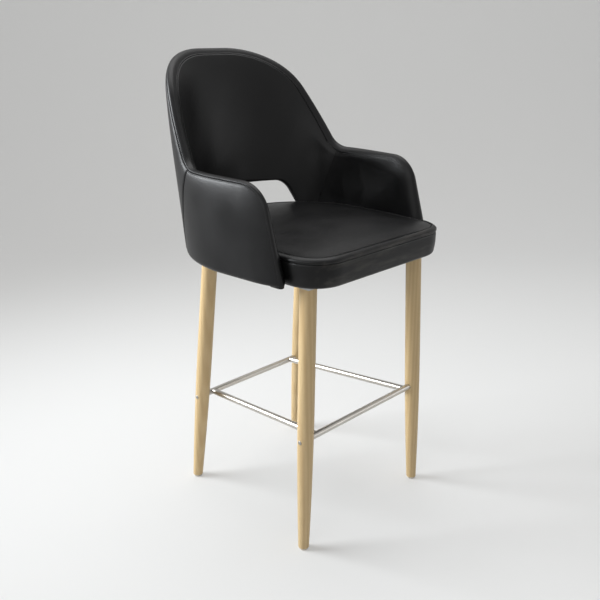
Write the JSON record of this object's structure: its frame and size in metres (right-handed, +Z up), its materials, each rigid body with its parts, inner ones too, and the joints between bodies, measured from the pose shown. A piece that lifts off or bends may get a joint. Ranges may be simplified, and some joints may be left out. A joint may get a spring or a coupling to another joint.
{
  "type": "bar stool",
  "caption": "Bar stool with a padded tub back and arms, padded seat, tapered round wooden legs and a steel tube footrest.",
  "frame": {"origin": "on the floor, under the middle of the stool's overall width and depth", "axes": "+Z up, -Y the way the sitter faces, +X to the sitter's left"},
  "size_m": [0.5818, 0.6376, 1.165],
  "materials": {
    "upholstery": "satin, fine grain",
    "foam": "matt foam",
    "plywood": "raw plywood",
    "dust_cover": "matt non-woven cloth",
    "zinc_steel": "zinc plated",
    "steel": "satin brushed",
    "beech": "clear satin lacquer",
    "glide": "matt nylon"
  },
  "bodies": {
    "root": {"outer_back_panel": "upholstery", "outer_arm_panel_right": "upholstery", "outer_arm_panel_left": "upholstery", "inner_back_pad": "upholstery", "inner_arm_pad_right": "upholstery", "inner_arm_pad_left": "upholstery", "rim_border": "upholstery", "opening_border": "upholstery", "seat_top_panel": "upholstery", "seat_border": "upholstery", "seat_foam": "foam", "tub_shell": "plywood", "seat_pan": "plywood", "dust_cover": "dust_cover", "shell_brackets": "zinc_steel", "bracket_screws": "zinc_steel", "leg_plate_screws": "zinc_steel", "hanger_bolts": "zinc_steel", "footrest_front_tube": "steel", "footrest_rear_tube": "steel", "footrest_side_tube_right": "steel", "footrest_side_tube_left": "steel", "footrest_plugs": "zinc_steel", "footrest_screws": "steel", "glide_nails": "zinc_steel", "leg_front_right": "beech", "leg_plate_front_right": "zinc_steel", "glide_front_right": "glide", "leg_front_left": "beech", "leg_plate_front_left": "zinc_steel", "glide_front_left": "glide", "leg_rear_right": "beech", "leg_plate_rear_right": "zinc_steel", "glide_rear_right": "glide", "leg_rear_left": "beech", "leg_plate_rear_left": "zinc_steel", "glide_rear_left": "glide"}
  },
  "joints": []
}
